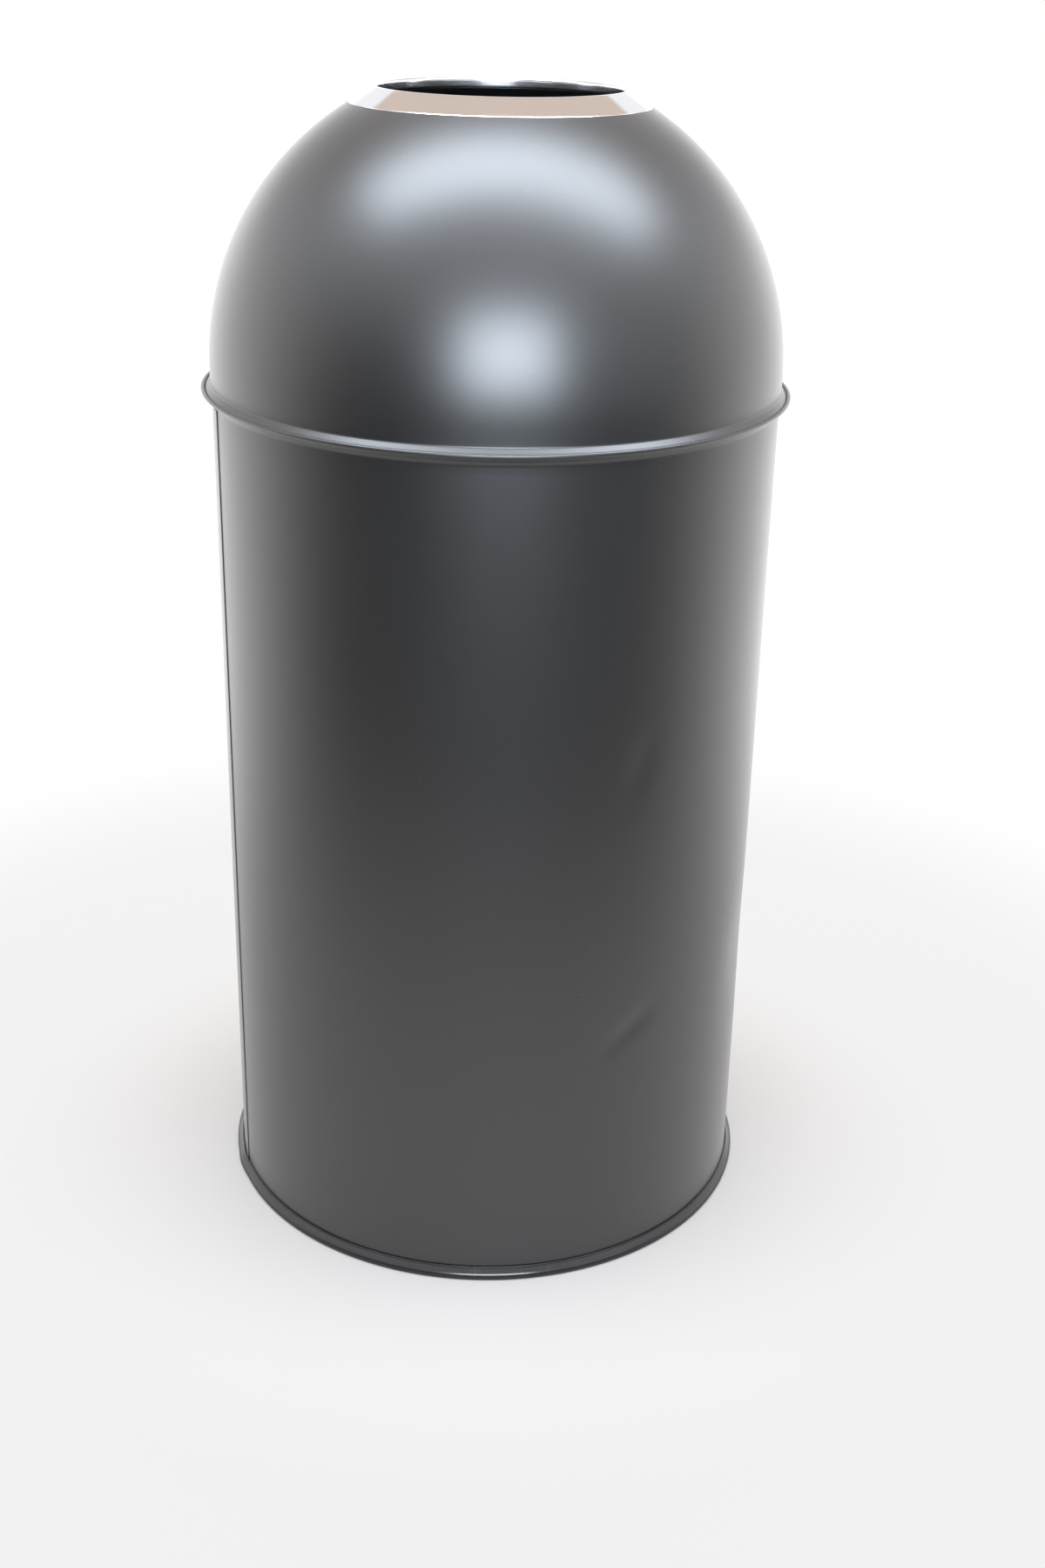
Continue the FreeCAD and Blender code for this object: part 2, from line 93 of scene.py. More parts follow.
DUST_TINT = (0.09, 0.088, 0.085)
BLOOM_TINT = (0.46, 0.47, 0.47)

FLOOR_RADIUS = 9.0
WHITE = (1.0, 1.0, 1.0, 1.0)
BLACK = (0.0, 0.0, 0.0, 1.0)
FRONT_TONE, SIDE_TONE, BACK_TONE = 0.08, 1.85, 2.75
BACK_START = 0.58
CEILING_FRONT = (1.28, 1.29, 1.38, 1.0)
CEILING_BACK = (1.60, 1.61, 1.70, 1.0)
PALE_BACK = (1.0, 1.0, 1.03, 1.0)
WARM_BACK = (0.72, 0.60, 0.52, 1.0)
LAMP_TINT = (0.80, 0.89, 1.0)


# Properties

def length(name, description, default):
    return FloatProperty(name=name, description=description, default=default, unit="LENGTH",
                         precision=5)


def colour(name, description, default):
    return FloatVectorProperty(name=name, description=description, default=default, subtype="COLOR",
                               size=3, min=0.0, max=1.0)


def angle(name, description, default):
    return FloatProperty(name=name, description=description, default=default, unit="ROTATION")


class TrashCanSizes(PropertyGroup):
    """Sizes of the visible sheet pieces."""
    body_radius: length("Body radius", "Outside radius of the straight wall", 0.183)
    sheet: length("Sheet", "Thickness of the body and dome sheet", 0.0007)
    rim_radius: length("Rim radius", "Outside radius of the rolled rim", BODY_HIGH.x - RIM_INSET)
    rim_height: length("Rim height", "Height of the top of the rolled rim", BODY_HIGH.z - RIM_DROP)
    rim_roll: length("Rim roll", "Outside radius of the rolled edge of the rim", 0.0013)
    rim_flare: length("Rim flare", "Outside radius of the bend below the rolled edge", 0.0055)
    seam_width: length("Seam width", "Width of the upright lock seam", 0.008)
    seam_rise: length("Seam rise", "Height of the seam above the wall", 0.0006)
    dome_overhang: length("Dome overhang", "How far the dome stands outside the wall", 0.0008)
    dome_flare: length("Dome flare", "Radius of the hollow bend above the dome's foot", 0.0015)
    foot_lean: angle("Foot lean", "Lean of the dome's foot from upright", radians(45.0))
    foot_sink: length("Foot sink", "How far the dome's foot lies below the top of the rolled rim", 0.0009)
    foot_gap: length("Foot gap", "Gap between the dome's foot and the rolled rim round it", 0.00030)
    foot_edge: length("Foot edge", "Outside radius of the turned-down edge of the dome's foot", 0.0003)
    foot_hem: length("Foot hem", "Depth of the turned-down edge below its bend", 0.0010)
    opening_radius: length("Opening radius", "Radius of the bright collar in the opening", 0.076)
    neck_room: length("Neck room", "Room between the bright collar and the dome's neck", 0.0009)
    trim_sheet: length("Trim sheet", "Thickness of the bright trim", 0.0006)
    trim_slope: angle("Trim slope", "Slope of the bright ring", radians(32.5))
    trim_lip: length("Trim lip", "Outside radius of the roll at the top of the trim", 0.0016)
    trim_lift: length("Trim lift", "How far the hem in the opening lies above the ring's outer edge", 0.0027)
    trim_gap: length("Trim gap", "Gap between the ring's outer edge and the dome", 0.0001)
    trim_edge: length("Trim edge", "Outside radius of the turned-down outer edge of the trim", 0.0012)
    around: IntProperty(name="Facets", description="Facets round the can", default=288, min=48, max=720)


class TrashCanColours(PropertyGroup):
    """Colours of the finishes."""
    paint: colour("Paint", "Satin black of the body and dome", (0.0105, 0.0102, 0.0102))
    plastic: colour("Foot ring", "Black of the foot ring", (0.014, 0.014, 0.0145))
    bright: colour("Trim", "Tint of the bright trim", (0.86, 0.86, 0.87))
    zinc: colour("Zinc", "Tint of the galvanised pail", (0.37, 0.385, 0.395))
    wire: colour("Wire", "Tint of the bare steel wire and rivets", (0.42, 0.42, 0.43))
    floor: colour("Floor", "Pale floor", (0.845, 0.838, 0.808))


def sizes():
    return bpy.context.scene.trash_can_sizes


def colours():
    return bpy.context.scene.trash_can_colours


# Drawing and turning sheet

class SheetLine:
    """The visible line of a sheet in the X-Z half-plane, with the sheet on its left."""

    def __init__(self, radius, height, heading):
        self.bm = bmesh.new()
        self.tip = self.bm.verts.new((radius, 0.0, height))
        self.heading = heading

    def run(self, distance, parts=1):
        step = Vector((cos(self.heading), 0.0, sin(self.heading))) * (distance / parts)
        for _ in range(parts):
            self.tip = bmesh.ops.extrude_vert_indiv(self.bm, verts=[self.tip])["verts"][0]
            bmesh.ops.translate(self.bm, verts=[self.tip], vec=step)
        return self

    def bend(self, radius, turn, parts):
        """Bends left by a positive turn, about a centre at that radius."""
        side = 1 if turn > 0 else -1
        left = Vector((-sin(self.heading), 0.0, cos(self.heading)))
        made = bmesh.ops.spin(self.bm, geom=[self.tip], cent=self.tip.co + left * side * radius,
                              axis=(0.0, -1.0, 0.0), angle=turn, steps=parts)
        self.tip = next(item for item in made["geom_last"] if isinstance(item, bmesh.types.BMVert))
        self.heading += turn
        return self

    def head(self, heading):
        """Turns on the spot, for a sharp corner."""
        self.heading = heading
        return self

    def close(self):
        """Joins the last vertex to the first, for a solid section."""
        self.bm.verts.ensure_lookup_table()
        self.bm.edges.new((self.tip, self.bm.verts[0]))
        return self

    def turned(self):
        """The line spun about Z into a closed surface, with its faces outwards."""
        bmesh.ops.spin(self.bm, geom=self.bm.verts[:] + self.bm.edges[:], cent=AXIS_POINT, axis=AXIS,
                       angle=tau, steps=sizes().around, use_merge=True)
        bmesh.ops.remove_doubles(self.bm, verts=self.bm.verts[:], dist=MILLIMETRE / 100)
        bmesh.ops.recalc_face_normals(self.bm, faces=self.bm.faces[:])
        return self.bm


def make_thick(bm, thickness):
    """Gives an open surface its thickness behind its faces."""
    bmesh.ops.solidify(bm, geom=bm.faces[:], thickness=thickness)


def finish_piece(name, bm, body, slot, material, *nodes):
    """Makes the mesh an object that rides on a body and stands for its CAD nodes."""
    mesh = bpy.data.meshes.new(name)
    bm.to_mesh(mesh)
    bm.free()
    mesh.shade_smooth()
    mesh.set_sharp_from_angle(angle=SMOOTH_ANGLE)
    mesh.materials.append(material)
    piece = bpy.data.objects.new(name, mesh)
    bpy.context.scene.collection.objects.link(piece)
    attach(piece, body)
    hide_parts(*nodes)
    return piece


def dress(node, material):
    """Gives a CAD node its finish."""
    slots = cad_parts[node].data.materials
    slots.clear()
    slots.append(material)


# Material helpers

class Wiring:
    """A node tree, and the few kinds of node that the finishes and the room use."""

    def __init__(self, tree):
        self.nodes = tree.nodes
        self.links = tree.links

    def feed(self, socket, value):
        """Links a socket to another, or sets its value."""
        if isinstance(value, bpy.types.NodeSocket):
            self.links.new(value, socket)
        else:
            socket.default_value = value

    def node(self, kind, inputs=None, **settings):
        made = self.nodes.new(kind)
        for name, value in settings.items():
            setattr(made, name, value)
        for name, value in (inputs or {}).items():
            self.feed(made.inputs[name], value)
        return made

    def spread(self, value, low, high, from_low=0.0, from_high=1.0, way="LINEAR"):
        """Maps a value from one range to another, and holds it at the ends."""
        ranges = {"From Min": from_low, "From Max": from_high, "To Min": low, "To Max": high}
        made = self.node("ShaderNodeMapRange", {"Value": value, **ranges}, interpolation_type=way)
        return made.outputs["Result"]

    def rise(self, value, start, end):
        """A soft step from 0 at the start to 1 at the end."""
        return self.spread(value, low=0.0, high=1.0, from_low=start, from_high=end, way="SMOOTHSTEP")

    def math(self, operation, first, second):
        made = self.node("ShaderNodeMath", operation=operation)
        for socket, value in zip(made.inputs, (first, second)):
            self.feed(socket, value)
        return made.outputs["Value"]

    def mix(self, factor, first, second):
        made = self.node("ShaderNodeMix", data_type="RGBA")
        for name, value in (("Factor", factor), ("A", first), ("B", second)):
            self.feed(next(s for s in made.inputs if s.name == name and s.enabled), value)
        return next(s for s in made.outputs if s.enabled)


class Finish(Wiring):
    """A material with one Principled shader, placed by object coordinates."""

    def __init__(self, name):
        self.material = bpy.data.materials.new(name)
        self.material.use_nodes = True
        super().__init__(self.material.node_tree)
        self.shader = self.nodes["Principled BSDF"]
        self.place = self.nodes.new("ShaderNodeTexCoord").outputs["Object"]

    def set(self, **values):
        for socket, value in values.items():
            self.shader.inputs[socket.replace("_", " ")].default_value = value
        return self

    def noise(self, scale, detail=2.0, roughness=0.5, vector=None):
        grain = {"Scale": scale, "Detail": detail, "Roughness": roughness}
        return self.node("ShaderNodeTexNoise", {"Vector": vector or self.place, **grain}).outputs["Fac"]

    def link(self, socket, value):
        self.links.new(value, self.shader.inputs[socket])
        return self

    def bump(self, height, strength, distance):
        made = self.node("ShaderNodeBump", {"Height": height, "Strength": strength, "Distance": distance})
        return self.link("Normal", made.outputs["Normal"])

    def ring_place(self):
        """Coordinates that only change with radius and height, for marks left by spinning."""
        level = (1.0, 1.0, 0.0)
        flat = self.node("ShaderNodeVectorMath", {0: self.place, 1: level}, operation="MULTIPLY")
        reach = self.node("ShaderNodeVectorMath", {0: flat.outputs["Vector"]}, operation="LENGTH")
        radius = reach.outputs["Value"]
        height = self.node("ShaderNodeSeparateXYZ", {"Vector": self.place}).outputs["Z"]
        return self.node("ShaderNodeCombineXYZ", {"X": radius, "Z": height}).outputs["Vector"]


def room_tone(wiring, depth, dim_end, bright_end):
    """Brightness of the white room by direction: dim in front, bright beside the can and behind it. The
    floor's painted glow takes the same tones.
    """
    sides = wiring.spread(depth, FRONT_TONE, SIDE_TONE, dim_end, bright_end, way="SMOOTHSTEP")
    back = wiring.spread(depth, 0.0, BACK_TONE - SIDE_TONE, BACK_START, from_high=1.0)
    return wiring.math("ADD", sides, back)


def opaque(tint, gain=1.0):
    return (*(channel * gain for channel in tint), 1.0)


def satin_black_paint():
    """Powder coat: fine orange peel, cloudy gloss and a little dust."""
    finish = Finish("satin_black_paint").set(IOR=1.75, Sheen_Weight=0.45, Sheen_Roughness=0.35)
    tint = colours().paint
    cloud = finish.noise(scale=7.0, detail=4.0, roughness=0.6)
    specks = finish.noise(scale=420.0, detail=1.0)
    dust = finish.spread(specks, low=0.0, high=0.5, from_low=0.74, from_high=0.86)
    base = finish.mix(cloud, opaque(tint, gain=0.85), opaque(tint, gain=1.2))
    finish.link("Base Color", finish.mix(dust, base, opaque(DUST_TINT)))
    finish.link("Roughness", finish.spread(cloud, low=0.35, high=0.40))
    peel = finish.noise(scale=1400.0)
    return finish.bump(peel, strength=0.12, distance=0.00012).material


def black_plastic():
    """Extruded black plastic: faint lines along the ring and a soft gloss."""
    finish = Finish("black_foot_plastic").set(IOR=1.52)
    tint = colours().plastic
    lines = finish.noise(scale=1800.0, vector=finish.ring_place())
    rubbed = finish.noise(scale=60.0, detail=6.0, roughness=0.7)
    scuff = finish.spread(rubbed, low=0.0, high=1.0, from_low=0.55, from_high=0.75)
    finish.link("Base Color", finish.mix(scuff, opaque(tint), opaque(tint, gain=1.9)))
    finish.link("Roughness", finish.spread(scuff, low=0.18, high=0.30))
    return finish.bump(lines, strength=0.10, distance=0.0001).material


def bright_trim():
    """Polished plated steel with the fine rings that spinning leaves, duller inside the opening."""
    finish = Finish("bright_trim_plating").set(Metallic=1.0, Base_Color=opaque(colours().bright))
    place = finish.ring_place()
    rings = finish.noise(scale=2600.0, detail=3.0, roughness=0.6, vector=place)
    smear = finish.noise(scale=45.0, detail=3.0, roughness=0.6)
    radius = finish.node("ShaderNodeSeparateXYZ", {"Vector": place}).outputs["X"]
    dull_end = sizes().opening_radius + 0.0012
    bright_start = sizes().opening_radius + 0.0024
    inside = finish.spread(radius, low=0.10, high=0.0, from_low=dull_end, from_high=bright_start)
    ringed = finish.spread(rings, low=0.02, high=0.05)
    smeared = finish.spread(smear, low=0.0, high=0.03)
    polish = finish.math("ADD", ringed, smeared)
    finish.link("Roughness", finish.math("ADD", polish, inside))
    return finish.bump(rings, strength=0.05, distance=0.00005).material


def galvanised():
    """Hot-dip zinc: grey crystals of different tone and gloss, with a dull bloom."""
    finish = Finish("galvanised_zinc").set(Metallic=0.9)
    tint = colours().zinc
    shift = (0.006, 0.006, 0.006)
    warp = finish.node("ShaderNodeTexNoise", {"Vector": finish.place, "Scale": 60.0}).outputs["Color"]
    warped = finish.node("ShaderNodeVectorMath", {0: warp, 1: shift, 2: finish.place},
                         operation="MULTIPLY_ADD").outputs["Vector"]
    crystals = finish.node("ShaderNodeTexVoronoi", {"Vector": warped, "Scale": 95.0})
    tone = finish.node("ShaderNodeSeparateColor", {"Color": crystals.outputs["Color"]}).outputs["Red"]
    patches = finish.noise(scale=9.0, detail=4.0, roughness=0.6)
    bloom = finish.spread(patches, low=0.0, high=0.35, from_low=0.4, from_high=0.7)
    crystal_tint = finish.mix(tone, opaque(tint, gain=0.80), opaque(tint, gain=1.16))
    finish.link("Base Color", finish.mix(bloom, crystal_tint, opaque(BLOOM_TINT)))
    finish.link("Roughness", finish.spread(tone, low=0.28, high=0.52))
    return finish.bump(finish.noise(scale=500.0), strength=0.08, distance=0.0002).material


def drawn_wire():
    """Bare drawn steel with fine scratches."""
    finish = Finish("drawn_steel_wire").set(Metallic=1.0)
    tint = colours().wire
    marks = finish.noise(scale=900.0, detail=4.0, roughness=0.65)
    finish.link("Base Color", finish.mix(marks, opaque(tint, gain=0.8), opaque(tint, gain=1.2)))
    finish.link("Roughness", finish.spread(marks, low=0.28, high=0.46))
    return finish.bump(marks, strength=0.15, distance=0.0001).material


def glowing_pale_floor():
    """Even pale floor that runs into the white room. Away from the can its colour gives way to a painted
    glow: to the camera it brightens into the white, and gloss mirrors it as a painted reflection, dim in
    front and bright behind.
    """
    finish = Finish("glowing_pale_floor")
    finish.set(Roughness=0.6, Specular_IOR_Level=0.2, Emission_Color=WHITE)
    measure = finish.node("ShaderNodeVectorMath", {0: finish.place}, operation="LENGTH")
    distance = measure.outputs["Value"]
    heading = finish.node("ShaderNodeVectorMath", {0: finish.place}, operation="NORMALIZE")
    depth = finish.node("ShaderNodeSeparateXYZ", {"Vector": heading.outputs["Vector"]}).outputs["Y"]
    seen = finish.node("ShaderNodeLightPath").outputs["Is Camera Ray"]
    # Past these distances the floor glows instead of taking light: painted light, seen as a dim front and a
    # bright back in gloss.
    mirrored_far = finish.rise(distance, start=0.48, end=1.2)
    seen_far = finish.rise(distance, start=0.20, end=0.40)
    share = finish.spread(seen, mirrored_far, seen_far)
    mirrored_painted_glow = room_tone(finish, depth, dim_end=-0.63, bright_end=0.55)
    seen_painted_glow = finish.spread(distance, low=0.85, high=1.0, from_low=0.50, from_high=0.95, way="SMOOTHSTEP")
    painted_glow = finish.spread(seen, mirrored_painted_glow, seen_painted_glow)
    # Painted glow: the floor's own colour fades to black where the glow takes over.
    finish.link("Base Color", finish.mix(share, opaque(colours().floor), BLACK))
    finish.link("Emission Strength", finish.math("MULTIPLY", share, painted_glow))
    return finish.material


# Shapes

def dome_radius():
    return sizes().body_radius + sizes().dome_overhang


def dome_height(radius):
    """Height of the dome's outside at a distance from the axis."""
    return COLLAR_HIGH.z + sqrt(dome_radius() ** 2 - radius ** 2)


def press(bm, dent):
    """Presses a dent into a round wall, its long way tilted up from the level. A negative depth swells."""
    least_share = 0.01
    for vertex in bm.verts:
        radius = vertex.co.xy.length
        turn = (atan2(vertex.co.y, vertex.co.x) - dent.angle + pi) % tau - pi
        across = turn * radius
        up = vertex.co.z - dent.height
        along = across * cos(dent.tilt) + up * sin(dent.tilt)
        aside = up * cos(dent.tilt) - across * sin(dent.tilt)
        share = exp(-(along / dent.reach) ** 2 - (aside / dent.width) ** 2)
        if share > least_share:
            vertex.co.xy *= 1 - dent.depth * share / radius


def seam_strip(bm, low, high):
    """The upright lock seam, a rounded strip that stands on the wall."""
    size = sizes()
    sunk = size.sheet / 2
    made = bmesh.ops.create_cube(bm, size=1.0)
    verts = made["verts"]
    bmesh.ops.scale(bm, verts=verts, vec=(size.seam_rise + sunk, size.seam_width, high - low))
    edges = {edge for vertex in verts for edge in vertex.link_edges}
    outer = [edge for edge in edges if edge.verts[0].co.x > 0]
    upright = [edge for edge in outer if abs(edge.verts[0].co.z - edge.verts[1].co.z) > MILLIMETRE]
    made = bmesh.ops.bevel(bm, geom=upright, offset=size.seam_rise * SEAM_ROUNDING, offset_type="OFFSET",
                           segments=4, profile=0.5, affect="EDGES", material=-1)
    verts = list({v for v in verts if v.is_valid} | set(made["verts"]))
    middle_radius = size.body_radius + (size.seam_rise - sunk) / 2
    bmesh.ops.translate(bm, verts=verts, vec=(middle_radius, 0.0, (low + high) / 2))
    turn = Matrix.Rotation(seam_middle(), 3, "Z")
    bmesh.ops.rotate(bm, verts=verts, cent=AXIS_POINT, matrix=turn)


def seam_middle():
    """The angle of the middle of the seam."""
    size = sizes()
    return SEAM_FRONT_ANGLE - size.seam_width / size.body_radius / 2


def make_body(paint):
    size = sizes()
    turn = RIM_FLARE_TURN
    bends = size.rim_flare + size.rim_roll
    reach = size.rim_radius - size.body_radius
    slope = (reach - bends * (1 - cos(turn))) / sin(turn)
    roll_height = size.rim_height - size.rim_roll
    flare_height = roll_height - bends * sin(turn) - slope * cos(turn)
    line = SheetLine(size.body_radius, BODY_LOW.z, UP)
    line.run(flare_height - BODY_LOW.z, parts=110)
    line.bend(size.rim_flare, -turn, parts=8)
    line.run(slope, parts=2)
    line.bend(size.rim_roll, RIM_ROLL_TURN, parts=20)
    bm = line.turned()
    make_thick(bm, size.sheet)
    for dent in WALL_DENTS:
        press(bm, dent)
    seam_strip(bm, BODY_LOW.z, flare_height)
    return finish_piece("can_body", bm, "can", "black_paint", paint, "body_shell")


def make_foot_ring(plastic):
    size = sizes()
    sole, shoulder, lip = 0.0014, 0.0045, 0.0003
    lip_rise, top_drop = 0.0011, 0.0022
    lean = radians(50.0)
    groove_floor, wall, inner_height = 0.003, 0.0035, 0.008
    wall_gap, pan_gap = 0.0007, 0.0002
    groove_outer = size.body_radius + wall_gap
    groove_inner = size.body_radius - 2 * size.sheet - pan_gap
    top = RING_HIGH.z - top_drop
    shoulder_height = top - lip - lip_rise
    shoulder_end = sole + shoulder * sin(lean)
    slope = (shoulder_height - shoulder_end) / cos(lean)
    slope_end = RING_HIGH.x - shoulder * (1 - cos(lean)) - slope * sin(lean)
    line = SheetLine(groove_inner - wall, 0.0, OUTWARD)
    line.run(RING_HIGH.x - sole - groove_inner + wall)
    line.bend(sole, pi / 2, parts=6)
    line.bend(shoulder, lean, parts=12)
    line.run(slope)
    line.head(UP).run(lip_rise)
    line.bend(lip, pi / 2, parts=6)
    line.run(slope_end - lip - groove_outer)
    line.head(DOWN).run(top - groove_floor)
    line.head(INWARD).run(groove_outer - groove_inner)
    line.head(UP).run(inner_height - groove_floor)
    line.head(INWARD).run(wall)
    bm = line.close().turned()
    press(bm, Dent(seam_middle(), height=0.0, reach=0.012, width=1.0, tilt=0.0, depth=-0.0009))
    return finish_piece("foot_ring", bm, "can", "black_plastic", plastic, "base_ring")


def make_dome(paint):
    size = sizes()
    radius = dome_radius()
    centre = COLLAR_HIGH.z
    foot_radius = size.rim_radius - 2 * size.rim_roll - size.foot_gap
    foot_height = size.rim_height - size.foot_sink
    neck_roll, neck_hem = 0.0012, 0.0005
    neck_bend = neck_roll + size.sheet / 2
    neck_radius = size.opening_radius + size.trim_sheet + size.neck_room
    neck_turn = acos((neck_radius + neck_bend) / (radius - neck_bend))
    lean = size.foot_lean
    bends = size.foot_edge + size.dome_flare
    skirt = (foot_radius - radius - bends * (1 - cos(lean))) / sin(lean)
    skirt_rise = bends * sin(lean) + skirt * cos(lean)
    line = SheetLine(foot_radius, foot_height - size.foot_hem, UP)
    line.run(size.foot_hem)
    line.bend(size.foot_edge, lean, parts=4)
    line.run(skirt, parts=2)
    line.bend(size.dome_flare, -lean, parts=8)
    line.run(centre - foot_height - skirt_rise, parts=4)
    line.bend(radius, neck_turn, parts=84)
    line.bend(neck_bend, pi - neck_turn, parts=8)
    line.run(neck_hem)
    bm = line.turned()
    make_thick(bm, size.sheet)
    return finish_piece("dome_shell", bm, "dome", "black_paint", paint, "dome_cover")


def make_mouth_ring(bright):
    size = sizes()
    slope = size.trim_slope
    steep = slope + MOUTH_EDGE_TURN
    hook_roll, hook_hem = 0.00075, 0.0005
    hook = hook_roll + size.trim_sheet / 2
    lip_height = TRIM_HIGH.z - size.trim_lip
    collar_low = TRIM_LOW.z + size.trim_lift + hook
    collar = (lip_height + size.trim_lip * sin(MOUTH_TAPER) - collar_low) / cos(MOUTH_TAPER)
    lip_radius = size.opening_radius + size.trim_lip * cos(MOUTH_TAPER) + collar * sin(MOUTH_TAPER)
    flange_end = lip_radius + size.trim_lip * sin(slope)
    flange_start = TRIM_HIGH.x - size.trim_edge * (1 - sin(slope))
    flange = (flange_start - flange_end) / cos(slope)
    flange_height = lip_height + size.trim_lip * cos(slope) - flange * sin(slope)
    bend_radius = flange_start + size.trim_edge * (sin(steep) - sin(slope))
    bend_height = flange_height - size.trim_edge * (cos(slope) - cos(steep))
    edge = (bend_height - dome_height(bend_radius) - size.trim_gap) / sin(steep)
    edge_radius = bend_radius + edge * cos(steep)
    edge_height = bend_height - edge * sin(steep)
    line = SheetLine(edge_radius, edge_height, INWARD - steep)
    line.run(edge)
    line.bend(size.trim_edge, MOUTH_EDGE_TURN, parts=8)
    line.run(flange, parts=6)
    line.bend(size.trim_lip, pi / 2 + slope - MOUTH_TAPER, parts=18)
    line.run(collar, parts=4)
    line.bend(hook, pi, parts=10)
    line.run(hook_hem)
    bm = line.turned()
    make_thick(bm, size.trim_sheet)
    return finish_piece("mouth_ring", bm, "dome", "bright_trim", bright, "opening_trim")


# Operators

class TRASHCAN_OT_body(Operator):
    """Make the painted body with its rolled rim and lock seam"""
    bl_idname = "trash_can.body"
    bl_label = "Body"

    def execute(self, context):
        paint = satin_black_paint()
        make_body(paint)
        dress("base_pan", paint)
        return {"FINISHED"}


class TRASHCAN_OT_foot_ring(Operator):
    """Make the black ring round the foot"""
    bl_idname = "trash_can.foot_ring"
    bl_label = "Foot ring"

    def execute(self, context):
        make_foot_ring(black_plastic())
        return {"FINISHED"}


class TRASHCAN_OT_dome(Operator):
    """Make the painted dome"""
    bl_idname = "trash_can.dome"
    bl_label = "Dome"

    def execute(self, context):
        paint = bpy.data.materials["satin_black_paint"]
        make_dome(paint)
        dress("dome_collar", paint)
        return {"FINISHED"}


class TRASHCAN_OT_mouth_ring(Operator):
    """Make the bright ring round the opening"""
    bl_idname = "trash_can.mouth_ring"
    bl_label = "Mouth ring"

    def execute(self, context):
        make_mouth_ring(bright_trim())
        return {"FINISHED"}


class TRASHCAN_OT_pail(Operator):
    """Finish the galvanised pail, its ears and its bail"""
    bl_idname = "trash_can.pail"
    bl_label = "Pail"

    def execute(self, context):
        zinc = galvanised()
        wire = drawn_wire()
        for node in ("liner_wall", "liner_bottom", "bail_ear_right", "bail_ear_left"):
            dress(node, zinc)
        for node in ("liner_rim_wire", "ear_rivets_right", "ear_rivets_left", "bail_handle"):
            dress(node, wire)
        return {"FINISHED"}


def area_light(name, place, aim, width, depth, power):
    """A rectangular lamp that only shows in gloss."""
    data = bpy.data.lights.new(name, "AREA")
    data.shape = "RECTANGLE"
    data.size, data.size_y = width, depth
    data.energy, data.color = power, LAMP_TINT
    lamp = bpy.data.objects.new(name, data)
    bpy.context.scene.collection.objects.link(lamp)
    lamp.location = place
    lamp.rotation_euler = (Vector(aim) - Vector(place)).to_track_quat("-Z", "Y").to_euler()
    lamp.visible_diffuse = False
    lamp.visible_camera = False
    return lamp


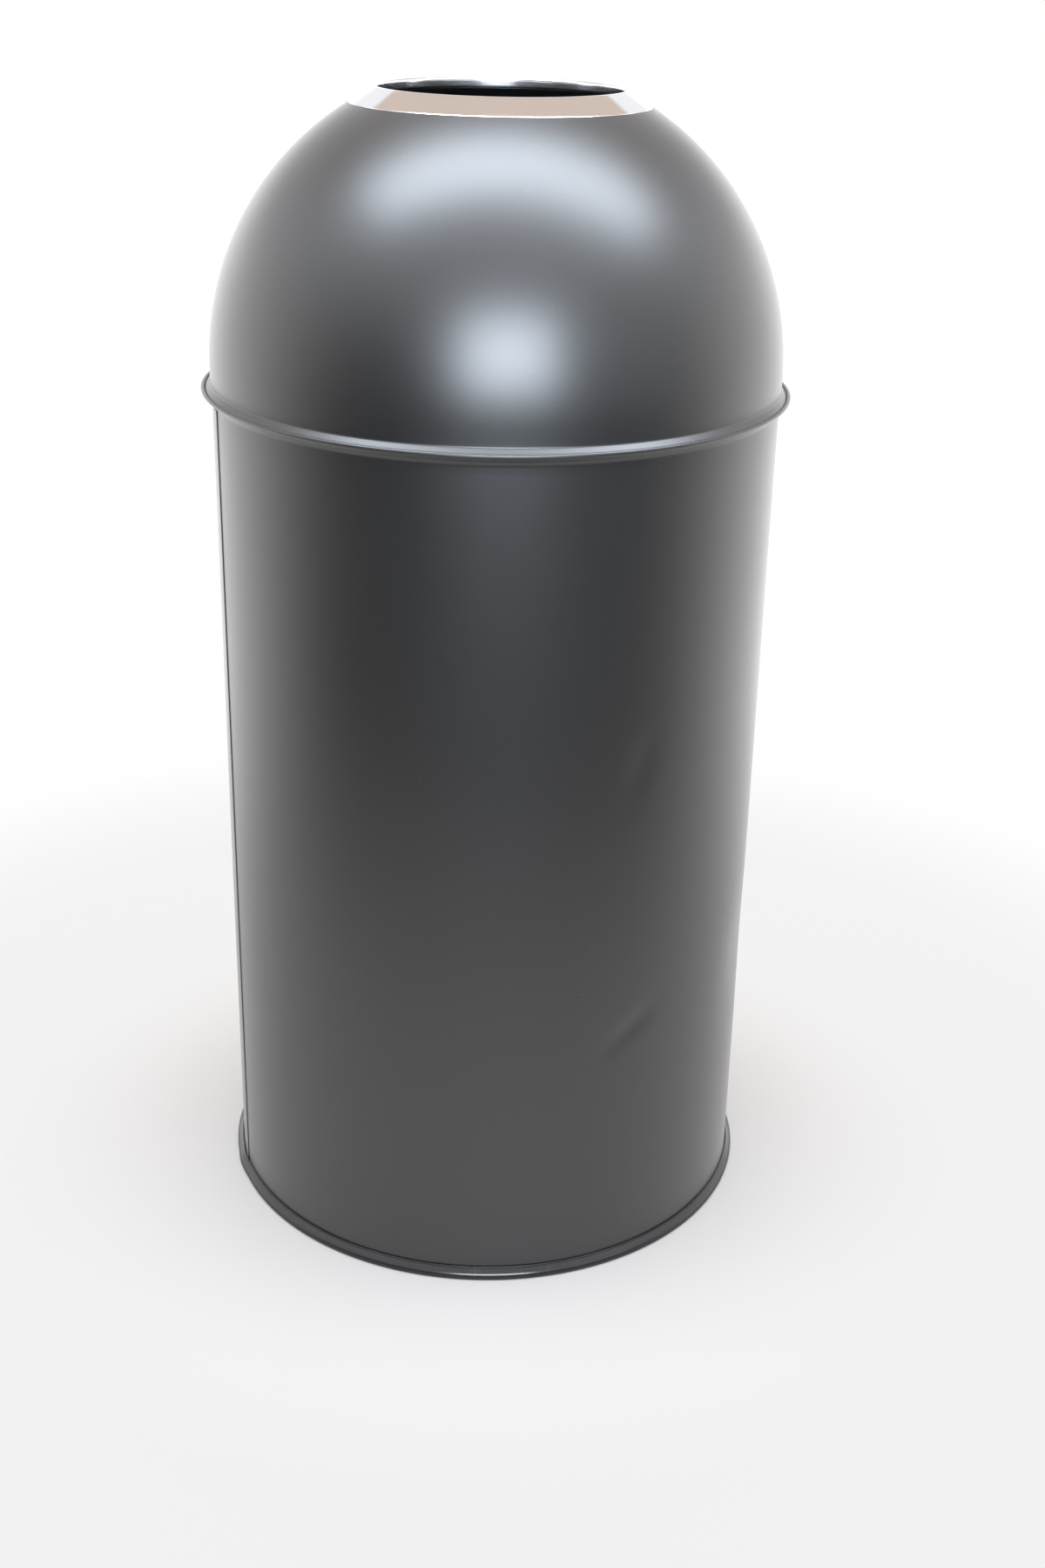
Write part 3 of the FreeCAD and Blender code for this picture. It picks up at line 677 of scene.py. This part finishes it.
class TRASHCAN_OT_stage(Operator):
    """Make the floor, the light and the camera"""
    bl_idname = "trash_can.stage"
    bl_label = "Stage"

    def execute(self, context):
        self.make_floor()
        self.make_light(context.scene)
        self.make_camera(context.scene)
        return {"FINISHED"}

    def make_floor(self):
        bm = bmesh.new()
        bmesh.ops.create_circle(bm, cap_ends=True, segments=96, radius=FLOOR_RADIUS)
        mesh = bpy.data.meshes.new("floor")
        bm.to_mesh(mesh)
        bm.free()
        mesh.materials.append(glowing_pale_floor())
        floor = bpy.data.objects.new("floor", mesh)
        bpy.context.scene.collection.objects.link(floor)

    def make_light(self, scene):
        self.make_room(scene)
        area_light("overhead_strip", place=(0.2, -0.16, 2.2), aim=(0.2, -0.16, 0.0),
                   width=3.0, depth=0.72, power=88.0)
        area_light("front_lamp", place=(0.09, -1.3, 0.91), aim=(0.0, 0.0, 0.66),
                   width=0.74, depth=0.56, power=24.0)
        area_light("right_fill", place=(1.1, -1.0, 0.75), aim=(0.0, 0.0, 0.60),
                   width=0.80, depth=0.70, power=1.1)
        scene.view_settings.view_transform = "Standard"

    def make_room(self, scene):
        """A white room. Gloss mirrors it dim in front, with a pale wall and a warm ceiling at the back."""
        world = bpy.data.worlds.new("white_room")
        scene.world = world
        world.use_nodes = True
        room = Wiring(world.node_tree)
        way = room.node("ShaderNodeTexCoord").outputs["Generated"]
        parts = room.node("ShaderNodeSeparateXYZ", {"Vector": way}).outputs
        depth, height = parts["Y"], parts["Z"]
        tone = room_tone(room, depth, dim_end=-0.82, bright_end=0.42)
        grey = room.node("ShaderNodeCombineColor", {"Red": tone, "Green": tone, "Blue": tone})
        ceiling_depth = room.rise(depth, start=-0.70, end=-0.05)
        ceiling = room.mix(ceiling_depth, CEILING_FRONT, CEILING_BACK)
        ceiling_share = room.rise(height, start=0.08, end=0.64)
        upper = room.mix(ceiling_share, grey.outputs["Color"], ceiling)
        pale_depth = room.rise(depth, start=0.50, end=0.70)
        pale_height = room.rise(height, start=0.15, end=0.28)
        pale = room.math("MULTIPLY", pale_depth, pale_height)
        warm_depth = room.rise(depth, start=0.20, end=0.35)
        warm_height = room.rise(height, start=0.50, end=0.56)
        warm = room.math("MULTIPLY", warm_depth, warm_height)
        mirrored = room.mix(warm, room.mix(pale, upper, PALE_BACK), WARM_BACK)
        seen = room.node("ShaderNodeLightPath").outputs["Is Camera Ray"]
        room.links.new(room.mix(seen, mirrored, WHITE), room.nodes["Background"].inputs["Color"])

    def make_camera(self, scene):
        pixels_tall, focal_pixels = 1800, 2223.1
        distance, height = 1.2552, 0.8445
        pitch, yaw, roll = radians(23.951), radians(1.0436), radians(1.3171)
        data = bpy.data.cameras.new("photo_camera")
        data.sensor_width = 36.0
        data.sensor_fit = "AUTO"
        data.lens = focal_pixels * data.sensor_width / pixels_tall
        camera = bpy.data.objects.new("photo_camera", data)
        scene.collection.objects.link(camera)
        forward = Vector((sin(yaw) * cos(pitch), cos(yaw) * cos(pitch), -sin(pitch)))
        right = Vector((cos(yaw), -sin(yaw), 0.0))
        up = right.cross(forward)
        tilted_right = right * cos(roll) + up * sin(roll)
        tilted_up = up * cos(roll) - right * sin(roll)
        turn = Matrix((tilted_right, tilted_up, -forward)).transposed()
        camera.matrix_world = Matrix.Translation((0.0, -distance, height)) @ turn.to_4x4()
        scene.camera = camera


class TRASHCAN_PT_panel(Panel):
    """Lists the pieces, their sizes and their colours"""
    bl_idname = "TRASHCAN_PT_panel"
    bl_label = "Trash Can"
    bl_space_type = "VIEW_3D"
    bl_region_type = "UI"
    bl_category = "Trash Can"

    def draw(self, context):
        for operator in OPERATORS:
            self.layout.operator(operator.bl_idname)
        for group in (context.scene.trash_can_sizes, context.scene.trash_can_colours):
            box = self.layout.box()
            for name in group.__annotations__:
                box.prop(group, name)


OPERATORS = (
    TRASHCAN_OT_body,
    TRASHCAN_OT_foot_ring,
    TRASHCAN_OT_dome,
    TRASHCAN_OT_mouth_ring,
    TRASHCAN_OT_pail,
    TRASHCAN_OT_stage,
)
CLASSES = (TrashCanSizes, TrashCanColours, *OPERATORS, TRASHCAN_PT_panel)


def register():
    for cls in CLASSES:
        bpy.utils.register_class(cls)
    bpy.types.Scene.trash_can_sizes = PointerProperty(type=TrashCanSizes)
    bpy.types.Scene.trash_can_colours = PointerProperty(type=TrashCanColours)


def unregister():
    del bpy.types.Scene.trash_can_colours
    del bpy.types.Scene.trash_can_sizes
    for cls in reversed(CLASSES):
        bpy.utils.unregister_class(cls)


def main():
    register()
    bpy.ops.trash_can.body()
    bpy.ops.trash_can.foot_ring()
    bpy.ops.trash_can.dome()
    bpy.ops.trash_can.mouth_ring()
    bpy.ops.trash_can.pail()
    bpy.ops.trash_can.stage()


if __name__ == "__main__":
    main()
